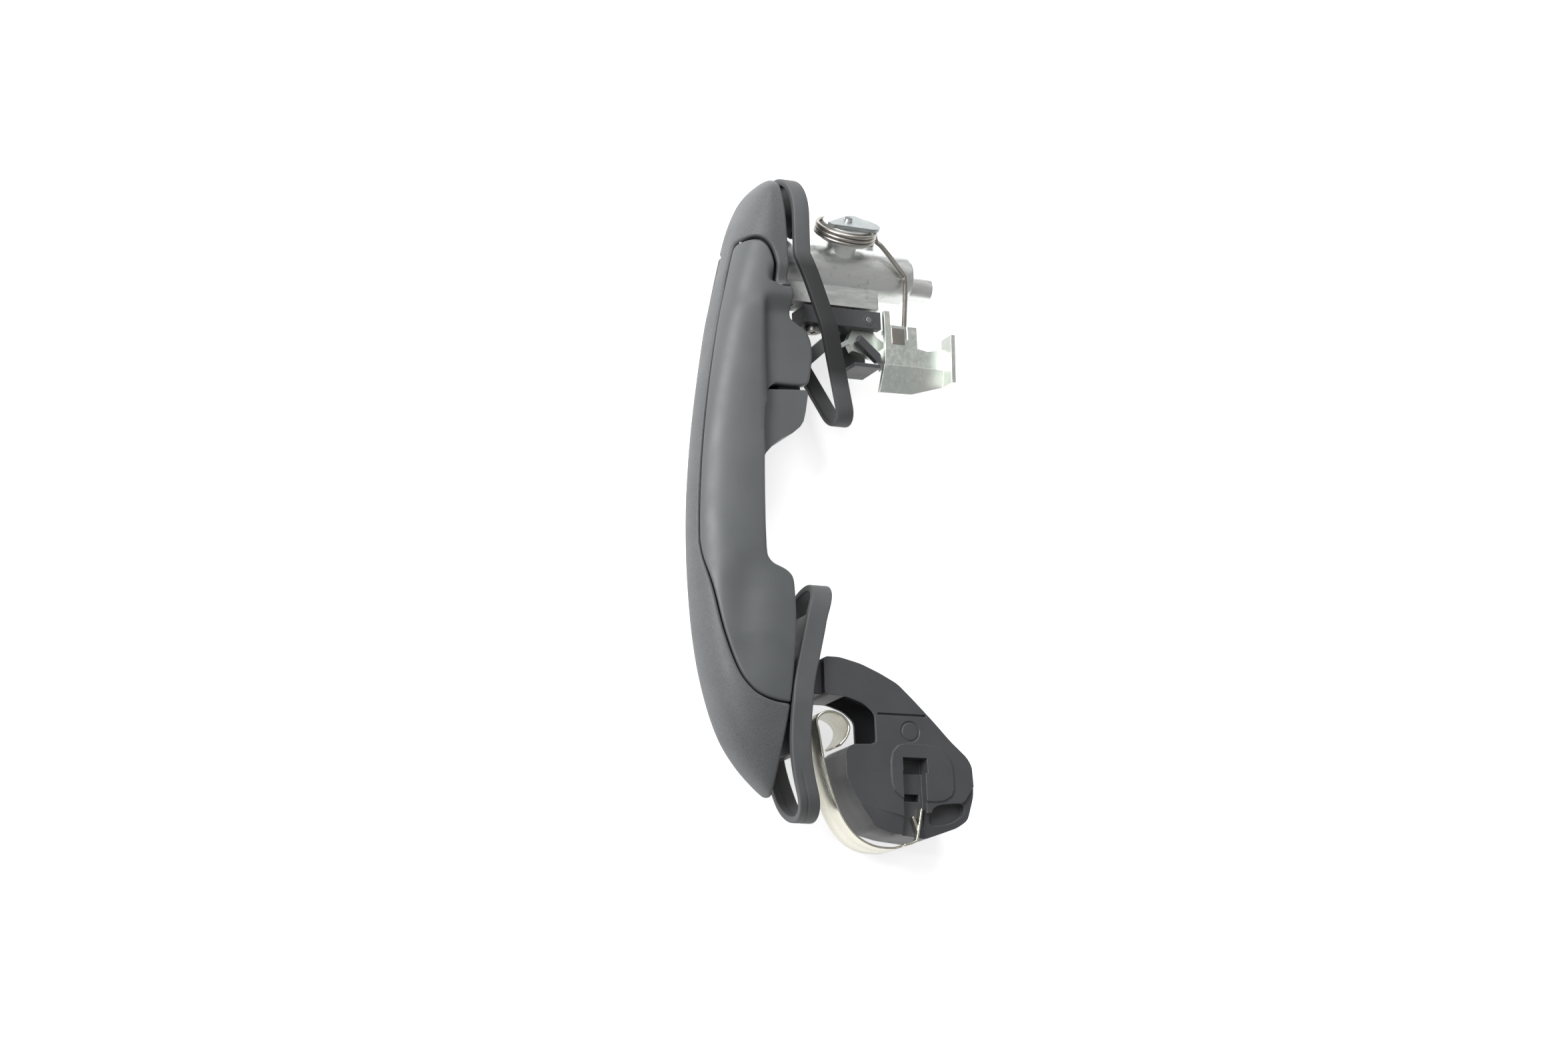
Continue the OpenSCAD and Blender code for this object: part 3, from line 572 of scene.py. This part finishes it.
def split(data, faces, field, level, keep_low=True):
    """Cuts every face along field = level, and keeps one side or both. Each row of data is a point."""
    rows = [data]
    count = len(data)
    value = data[:, field] - level
    value = np.where(np.abs(value) < 0.02, 0.0, value)
    made, extra, out = {}, [], []
    for face in faces:
        v = value[face]
        if v.min() >= 0:
            out.append(face)
            continue
        if v.max() <= 0:
            if keep_low:
                out.append(face)
            continue
        high, low = [], []
        n = len(face)
        for k in range(n):
            i, j = face[k], face[(k + 1) % n]
            a, b = value[i], value[j]
            if a >= 0:
                high.append(i)
            if a <= 0:
                low.append(i)
            if a * b < 0:
                key = (i, j) if i < j else (j, i)
                if key not in made:
                    t = a / (a - b)
                    extra.append(data[i] * (1 - t) + data[j] * t)
                    made[key] = count + len(extra) - 1
                high.append(made[key])
                low.append(made[key])
        if len(high) > 2:
            out.append(np.array(high))
        if keep_low and len(low) > 2:
            out.append(np.array(low))
    if extra:
        rows.append(np.array(extra))
    return np.vstack(rows), out


def roll(distance, radius):
    """Drop of a rounded edge at a distance from it."""
    d = np.clip(distance, 0, radius)
    return radius - np.sqrt(np.maximum(radius ** 2 - (radius - d) ** 2, 0))


def split_levels(data, faces, field, levels):
    for level in levels:
        data, faces = split(data, faces, field, level)
    return data, faces


LEVELS = (0.0, 0.06, 0.18, 0.36, 0.6, 0.9)    # cuts that carry the rounded lip
ROLL = 0.9
# Columns of a point, after its place and its normal
BACK_EDGE, SEAM_LINE, GRIP_AREA, COVER_AREA, LINER_AREA = range(6, 11)


def shell_piece(name, data, faces, drop, wall):
    """Closes a cut surface into a shell: rounded outer skin, inner skin and rims."""
    used = sorted({int(i) for f in faces for i in f})
    index = {v: k for k, v in enumerate(used)}
    data, drop = data[used], drop[used]
    faces = [[index[int(i)] for i in f] for f in faces]
    points, normals = data[:, 0:3], data[:, 3:6]
    normals = normals / np.maximum(np.linalg.norm(normals, axis=1), 1e-9)[:, None]
    outer = points - normals * drop[:, None]
    depth = np.minimum(wall, 0.55 * np.maximum(table(plan_line, points[:, 0]), 1.0))
    inner = points - normals * np.maximum(depth, drop + 1.2)[:, None]
    inner[:, 2] = np.where(points[:, 2] > 0, np.maximum(inner[:, 2], 0), np.minimum(inner[:, 2], 0))
    n = len(outer)
    edges = {}
    for f in faces:
        for k in range(len(f)):
            a, b = f[k], f[(k + 1) % len(f)]
            edges[(a, b)] = edges.get((a, b), 0) + 1
    rims = [(a, b) for (a, b) in edges if (b, a) not in edges]
    all_faces = faces + [[n + i for i in f][::-1] for f in faces] + [[b, a, n + a, n + b] for a, b in rims]
    obj = make_object(name, np.vstack([outer, inner]), all_faces)
    return clean(obj, 0.03)


def build_shells():
    p = shell_grid()
    rows, cols = p.shape[:2]
    n = surface_normals(p)
    x, y, z = p[..., 0], p[..., 1], p[..., 2]
    outline = inside_distance(x, y, grip_outline)
    strip = on_surface(p, np.abs(z) - STRIP_HALF)
    outline_s = on_surface(p, outline)
    back = on_surface(p, inside_distance(x, y, back_outline))
    grip = soft_min(outline_s, strip, 2.5)
    gap = SEAM + WIDE_SEAM * (1 - smoothstep(x, 8, 16)) * smoothstep(y, -31, -26)
    cover = -grip - gap
    columns = [x, y, z, n[..., 0], n[..., 1], n[..., 2], back, grip, np.minimum(outline_s, back),
               np.minimum(cover, back), np.minimum(3.0 - np.abs(outline_s), back - 1.0)]
    data = np.stack([c.ravel() for c in columns], axis=1)
    quads = [np.array([i * cols + k, (i + 1) * cols + k, (i + 1) * cols + k + 1, i * cols + k + 1])
             for i in range(rows - 1) for k in range(cols - 1)]
    made = {}
    # Cover: the cap, the strip on the crown and the lower end
    d, f = split(data, quads, COVER_AREA, 0.0, keep_low=False)
    d, f = split_levels(d, f, COVER_AREA, LEVELS[1:])
    made["cover"] = shell_piece("cover_shell", d, f, roll(d[:, COVER_AREA], ROLL), COVER_WALL)
    # Grip: both sides with the flares, sunk under the cover
    d, f = split(data, quads, GRIP_AREA, 0.0, keep_low=False)
    d, f = split_levels(d, f, BACK_EDGE, LEVELS[1:])
    d, f = split_levels(d, f, SEAM_LINE, (-0.25, *LEVELS))
    drop = np.maximum(roll(d[:, SEAM_LINE], ROLL), roll(d[:, BACK_EDGE], ROLL))
    drop = np.where(d[:, SEAM_LINE] < -0.02, SUNK, drop)
    made["grip"] = shell_piece("grip_shell", d, f, drop, GRIP_WALL)
    # Dark liner behind both parting lines, clear of the lock
    d, f = split(data, quads, LINER_AREA, 0.0, keep_low=False)
    liner = shell_piece("seam_liner", d, f, np.full(len(d), LINER_DEPTH), LINER_DEPTH)
    made["liner"] = cut_with(liner, [disc("room", (0, 0), 9.2, -21.8, 5, axis="y")])
    return made


shells = build_shells()
# Room inside the grip for the squeezed trigger: a block near the crown, and one nearer the back
CROWN_ROOM = (43.8, -27.2, -10.1), (75.8, -16.2, 10.1)
BACK_ROOM = (44.75, -17.5, -9.9), (75.8, -9.5, 9.9)
cut_with(shells["grip"], [block("room", *CROWN_ROOM), block("room", *BACK_ROOM)])
dress(shells["cover"], "grained_plastic", "mount", replaces=["outer_cover"])
dress(shells["grip"], "smooth_plastic", "mount", replaces=["grip_body"])
dress(shells["liner"], "black_plastic", "mount")

# ---------------------------------------------------------------- seals


def round_hull(circles, steps=72):
    """Outline round circles on the X axis, each (x, radius)."""
    angles = [2 * math.pi * k / steps for k in range(steps)]
    pts = sorted({(round(x + r * math.cos(a), 5), round(r * math.sin(a), 5))
                  for x, r in circles for a in angles})
    half = []
    for order in (pts, pts[::-1]):
        row = []
        for q in order:
            while len(row) > 1 and ((row[-1][0] - row[-2][0]) * (q[1] - row[-2][1])
                                    - (row[-1][1] - row[-2][1]) * (q[0] - row[-2][0])) <= 0:
                row.pop()
            row.append(q)
        half += row[:-1]
    return half


SEAL_WALL = 2.2
REAR_PLAN = [(-13.2, 16), (22, 14.9), (47, 6.6)]
REAR_LINE = smooth_line([(-40, -3), (-12, -3), (0.3, -3), (2.6, -2.2), (8, 0.1), (20, 4.35), (40, 11.4),
                         (60, 18.5)])
FRONT_PLAN = [(119, 10.5), (149, 13), (176.4, 9.4)]
FRONT_LINE = smooth_line([(104, 5.2), (109, 3.6), (119, -0.5), (126, -2.6), (133, -4.7), (141, -7.1),
                          (148, -8.5), (156, -9.1), (164, -9.1), (172, -7.9), (182, -5.2), (192, -2)])


def gasket(name, plan, line, height, step_from=None):
    """Thin moulded collar along an outline in plan and a line in y, with a groove from step_from on."""
    inset = [(x, r - SEAL_WALL / 2) for x, r in plan]
    ring = resample(round_hull(inset), 1.3)
    path = np.stack([ring[:, 0], np.interp(ring[:, 0], line[:, 0], line[:, 1]), ring[:, 1]], axis=1)
    base = rounded_box_section(SEAL_WALL, height, 0.5, 4)
    fine = []
    for k, (a, b) in enumerate(base):
        high = base[(k + 1) % len(base)][1]
        fine.append((a, b))
        if abs(high - b) > 1:
            fine += [(a, b + (high - b) * t) for t in np.linspace(0, 1, 17)[1:-1]]

    def section(i):
        if step_from is None:
            return base
        deep = 0.35 * float(smoothstep(path[i, 0], step_from, step_from + 3))
        return [(a - math.copysign(deep, a) if 0.4 < b < 1.1 else a, b) for a, b in fine]

    return sweep(name, path, section, closed=True, up=(0, 1, 0))


dress(gasket("rear_gasket", REAR_PLAN, REAR_LINE, 5.7), "seal_rubber", "mount", replaces=["rear_seal"])


def seal_floor_painted_shade():
    """Crescent-shaped floor of the rear gasket, ahead of the lock housing, near black as painted shade inside
    the collar.
    """
    ring = [(x, z) for x, z in round_hull([(-13.2, 14.6), (22, 13)]) if x < -6.5]
    ring.sort(key=lambda q: q[1])
    arc = [(-9.6 * math.cos(a), 9.6 * math.sin(a)) for a in np.linspace(0.75, -0.75, 17)]
    return soften(prism("seal_floor_painted_shade", ring + arc, -3.4, -1.6, axis="y"), 0.2, 2, 50)


def front_floor():
    """Dark web across the inside of the front gasket, which the neck of the hook block passes through."""
    line = [(x, y) for x, y in FRONT_LINE if 118 < x < 165]
    low, high = [(x, y - 1.6) for x, y in line], [(x, y + 1.6) for x, y in line]
    return soften(prism("front_floor", low + high[::-1], -8.6, 8.6), 0.3, 2, 50)


dress(seal_floor_painted_shade(), "black_plastic", "mount")
dress(front_floor(), "black_plastic", "mount")
dress(gasket("front_gasket", FRONT_PLAN, FRONT_LINE, 6.9, step_from=170), "seal_rubber", "mount",
      replaces=["front_seal"])

# ---------------------------------------------------------------- hook block and its leaf spring

HOOK = [(133.3, 1.4), (133.3, 7), (135.1, 14.5), (137.8, 21.1), (141, 27.4), (146.3, 33.1), (152.6, 39.5),
        (159, 45.6), (164, 51.2), (166.8, 52.8), (176.5, 53.2), (184.1, 51.3), (186.6, 47.5), (190.4, 36),
        (189.2, 24.6), (187.5, 17.8), (182, 13.4), (176.5, 9.8), (172, 7.6), (163.2, 7.6), (161.3, 10.2),
        (160.9, 18.8), (151, 18.8), (147.8, 15.1), (145.8, 9.2), (145.8, 1.4)]
HOOK_HALF = 8.0
NECK = [(131.6, -13.4), (131.6, -9.4), (134.6, -8.4), (134.6, 3), (145.2, 3), (145.2, -6.8), (146.6, -8),
        (146.6, -13.4)]
LOW_BEVEL = [(178.5, 6), (181.5, 17.5), (183, 24), (184.2, 29), (190.8, 38), (198, 38), (198, 6)]
FAR_BEVEL = [(182.6, 35.4), (181.6, 44), (178, 49.8), (170, 55.5), (196, 58), (198, 34)]
CORNER = [(180, 37.5), (186.5, 37), (185.5, 45), (182.5, 49.8), (178.6, 49.8)]
PANEL = [(160.4, 23.6), (178.6, 23.2), (179, 45.6), (165.4, 45.8), (160.4, 40)]
MARK = (156.4, 31)    # centre of the round mark


def slanted(name, outline, x_drop, depth):
    """Block above a plane that falls away toward +X, used to cut a long bevel off the near face."""
    low = min(x for x, _ in outline)
    high = max(x for x, _ in outline)
    slope = depth / (high - low)
    bottom = [(x, y, HOOK_HALF + 0.02 - max(0.0, x - low - x_drop) * slope) for x, y in outline]
    obj = between(name, bottom, [(x, y, HOOK_HALF + 6) for x, y in outline])
    bm = bmesh.new()
    bm.from_mesh(obj.data)
    bmesh.ops.triangulate(bm, faces=bm.faces)
    bm.to_mesh(obj.data)
    bm.free()
    return obj


def hook_piece():
    outline = fillet(HOOK, 1.6)
    body = prism("hook_moulding", outline, -HOOK_HALF, HOOK_HALF)
    body = cut_with(body, [slanted("bevel", LOW_BEVEL, 3.2, 4.6), slanted("bevel", FAR_BEVEL, 2.2, 5.0)])
    body = soften(body, 0.5, 3, 28)
    neck = soften(prism("neck", NECK, -5.6, 5.6), 0.5, 3)
    panel = soften(prism("panel", round_corners(PANEL, 2), HOOK_HALF - 1, HOOK_HALF + 0.55), 0.3, 3)
    body = cut_with(body, [neck, panel], "UNION")
    cutters = [
        block("cut", (164.9, 27.6, 3), (169.7, 36.4, 12)),
        block("cut", (169.2, 27.4, 5.2), (194, 35.6, 12)),
        block("cut", (176.2, 29, 2), (178.6, 34.4, 12)),
        block("cut", (150.7, 19.6, HOOK_HALF - 0.8), (151.5, 37, 12)),
        prism("cut", round_corners(CORNER, 2), 4.5, 12),
        disc("cut", MARK, 3.5, HOOK_HALF - 0.35, 12),
        block("cut", (151.9, 17, -7.0), (160.2, 31, 7.1)),
        prism("cut", [(140.5, 8.5), (147, 8.5), (149.2, 15), (152.6, 18.6), (152.6, 28), (147, 24)], -7, 7.1),
    ]
    body = cut_with(body, cutters)
    body = cut_with(body, [disc("mark", MARK, 2.7, HOOK_HALF - 0.8, HOOK_HALF - 0.05)], "UNION")
    return soften(body, 0.18, 2, 50)


dress(hook_piece(), "black_plastic", "mount", replaces=["hook_block"])

LEAF = [(161.2, 7.2), (158.5, 9.6), (155, 10.6), (152, 8.6), (150.6, 4.8), (151.4, 1.2), (153.8, -0.7),
        (157.2, -0.2), (162, 0.5), (168, 1.4), (175, 3.2), (182, 5.6), (187.4, 8.8), (191.2, 12.8),
        (193.3, 18), (193.6, 24.4), (192.6, 28.4)]
TONGUE = [(193.0, 27.2), (191.8, 31), (190, 32.2), (180.8, 34.2)]
BARB = [(187, 32.8), (183.4, 31.4), (183.8, 30.7), (188.4, 32.2)]


def join(parts):
    """Puts several closed meshes in one object."""
    first = parts[0]
    bm = bmesh.new()
    for part in parts:
        bm.from_mesh(part.data)
    bm.to_mesh(first.data)
    bm.free()
    for part in parts[1:]:
        bpy.data.objects.remove(part)
    return first


def leaf_piece():
    line = smooth_line(LEAF, 8)
    path = [(x, y, 0.0) for x, y in line]
    narrow = len(path)

    def section(i):
        width = 11.2 - 2.0 * float(smoothstep(i, narrow - 22, narrow - 2))
        return rounded_box_section(0.8, width, 0.3, 3)

    strip = sweep("leaf_strip", path, section, up=(0, 0, 1))
    tongue_path = [(x, y, 6.4) for x, y in smooth_line(TONGUE, 6)]
    tongue = sweep("tongue", tongue_path, rounded_box_section(0.8, 2.2, 0.3, 3), up=(0, 0, 1))
    barb = soften(prism("barb", BARB, 5.5, 7.1), 0.15, 2)
    return join([strip, tongue, barb])


dress(leaf_piece(), "spring_strip", "mount", replaces=["leaf_spring"])

# ---------------------------------------------------------------- return spring

WIRE, COIL, PITCH, TURNS = 0.65, 9.8, 1.36, 3             # radii of the wire and of the coil
STEPS = 24                                                # points in one turn
POST_TURN, POST_Y, POST_SEAT = math.radians(40.3), 16.0, 11.4
POST_TOP, SOCKET_R = 19.15, 1.36


def from_post(r, a, h):
    """Point at a radius, an angle and a height on the spring's post."""
    u, v = r * math.cos(math.radians(a)), r * math.sin(math.radians(a))
    return (v * math.sin(POST_TURN) - h * math.cos(POST_TURN), POST_Y + u,
            v * math.cos(POST_TURN) + h * math.sin(POST_TURN))


def spring_piece():
    low = POST_SEAT + WIRE + 0.15
    leg = [(19.9, 39.2, 3.3), (17, 38.9, 4.4), (6, 37.8, 8.6), (3.6, 37.3, 9.6), (1.8, 36.4, 10),
           (-6.5, 29.2, 10.2), (-8.6, 27, 10)]
    coil = [from_post(COIL, 360 / STEPS * i, low + PITCH * (TURNS - i / STEPS))
            for i in range(1, STEPS * TURNS + 1)]
    end = [from_post(COIL, 372, low - 0.1), from_post(COIL - 0.2, 384, low - 0.2)]
    line = smooth_line(leg + coil + end, 4)
    turn_start = len(leg) * 4

    def section(i):
        thick = WIRE + 0.2 * (1 - float(smoothstep(i, turn_start - 8, turn_start + 4)))
        return circle_section(thick, 14)

    return sweep("return_spring", line, section)


spring = dress(spring_piece(), "spring_wire", None, replaces=["torsion_spring"])
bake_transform(spring)


def post_hole_painted_shade():
    """Dark disc of painted shade on the end of the spring's post, where the real one has a hole."""
    sides = 32
    return between("post_hole_painted_shade", *[[from_post(SOCKET_R, 360 * k / sides, h) for k in range(sides)]
                                    for h in (POST_TOP - 0.6, POST_TOP)])


PIN = (17.4, 25.4)    # the bellcrank's pin: a dark disc for its seat, and its end
dress(post_hole_painted_shade(), "black_plastic", "mount")
dress(disc("pin_seat", PIN, 2.0, 4.2, 5.07), "black_plastic", "mount")
dress(soften(disc("pin_end", PIN, 1.0, 4.6, 5.16), 0.1, 2), "fastener_steel", "mount")

# Face of the bent tab beside the spring's hook, painted shade in the dark wire colour, where it lies in the
# bellcrank's shade
tab = soften(prism("crank_tab_painted_shade", [(19.4, 33.5), (24.9, 33.5), (24.9, 38.3), (19.4, 38.3)], 4.6, 5.35), 0.15, 2)
dress(tab, "spring_wire", "bellcrank")

# ---------------------------------------------------------------- nodes that are shown as they are

# Bevel of each node's edges
EDGES = {"lock_housing": 0.5, "pivot_bracket": 0.5, "bellcrank": 0.3, "trigger": 0.8,
         "spring_plate": 0.25, "spring_post": 0.4, "push_pad": 0.3, "trigger_pad": 0.3, "tailpiece": 0.3,
         "lock_bezel": 0.2, "lock_plug": 0.15, "cover_screws": 0.15, "bracket_screws": 0.15,
         "hook_screws": 0.15, "housing_screws": 0.15, "tail_screws": 0.15, "crank_pin": 0.12,
         "trigger_pin": 0.12, "pivot_bushes": 0.1, "dust_shutter": 0.1, "pin_clips": 0.06, "wafers": 0.05,
         "shutter_pin": 0.05}
# A darker zinc as painted shade, so that the plate shows against the floor's reflection
LOOKS = {"spring_plate": "zinc_plate_painted_shade"}
for part in frame["record"]["subparts"]:
    node = frame["nodes"][part["node"]]
    if node.hide_render:
        continue
    node.data.materials.clear()
    node.data.materials.append(M[LOOKS.get(part["node"], part["material_slot"])])
    weld = node.modifiers.new("weld", "WELD")
    weld.merge_threshold = 0.002 * MM
    edge = node.modifiers.new("edge", "BEVEL")
    edge.width = EDGES.get(part["node"], 0.1) * MM
    edge.segments = 3
    edge.limit_method = "ANGLE"
    edge.angle_limit = math.radians(EDGE_ANGLE)
    edge.use_clamp_overlap = True
    for poly in node.data.polygons:
        poly.use_smooth = True
    even = node.modifiers.new("normals", "WEIGHTED_NORMAL")
    even.weight = 60
    even.keep_sharp = True

# ---------------------------------------------------------------- camera, floor and light

SENSOR, FOCAL = 36.0, 72.70
RIGHT, UP, BACKWARD = (0.042, 0.903, 0.4275), (-0.965, -0.0742, 0.2517), (0.2588, -0.4234, 0.8682)
POSITION = (0.3518, -0.4380, 0.8852)
FLOOR_HALF, FLOOR_GAP = 6, 0.0006
cam_data = bpy.data.cameras.new("camera")
cam_data.sensor_width = SENSOR
cam_data.lens = FOCAL
cam_data.clip_start = 0.01
cam = bpy.data.objects.new("camera", cam_data)
bpy.context.scene.collection.objects.link(cam)
cam.matrix_world = Matrix([*zip(RIGHT, UP, BACKWARD, POSITION), (0, 0, 0, 1)])
bpy.context.scene.camera = cam
bpy.context.scene.view_settings.view_transform = "Standard"

floor_z = cad_bounds[0].z - FLOOR_GAP
corners = [(a * FLOOR_HALF, b * FLOOR_HALF, floor_z) for a, b in ((-1, -1), (1, -1), (1, 1), (-1, 1))]
floor = make_object("floor", corners, [[0, 1, 2, 3]], smooth=False, scale=1.0)
floor_mat, floor_tree, floor_shader = new_material("floor")
floor_shader.inputs["Base Color"].default_value = (0.9, 0.9, 0.9, 1)
floor_shader.inputs["Roughness"].default_value = 0.8
floor_shader.inputs["Emission Color"].default_value = (1, 1, 1, 1)
floor_shader.inputs["Emission Strength"].default_value = 0.62
floor.data.materials.append(floor_mat)

world = bpy.data.worlds.new("studio")
bpy.context.scene.world = world
world.use_nodes = True
world.node_tree.nodes["Background"].inputs["Color"].default_value = (1, 1, 1, 1)
world.node_tree.nodes["Background"].inputs["Strength"].default_value = 0.36


def softbox(name, position, target, size, power):
    data = bpy.data.lights.new(name, "AREA")
    data.shape = "RECTANGLE"
    data.size, data.size_y = size
    data.energy = power
    obj = bpy.data.objects.new(name, data)
    obj.location = position
    obj.rotation_mode = "QUATERNION"
    obj.rotation_quaternion = (Vector(target) - Vector(position)).to_track_quat("-Z", "Y")
    bpy.context.scene.collection.objects.link(obj)


middle = (cad_bounds[0] + cad_bounds[1]) / 2
softbox("key", (-0.25, -1.0, 0.75), middle, (0.8, 0.5), 17)
softbox("top", (-0.9, -0.1, 0.8), middle, (0.6, 0.8), 9)
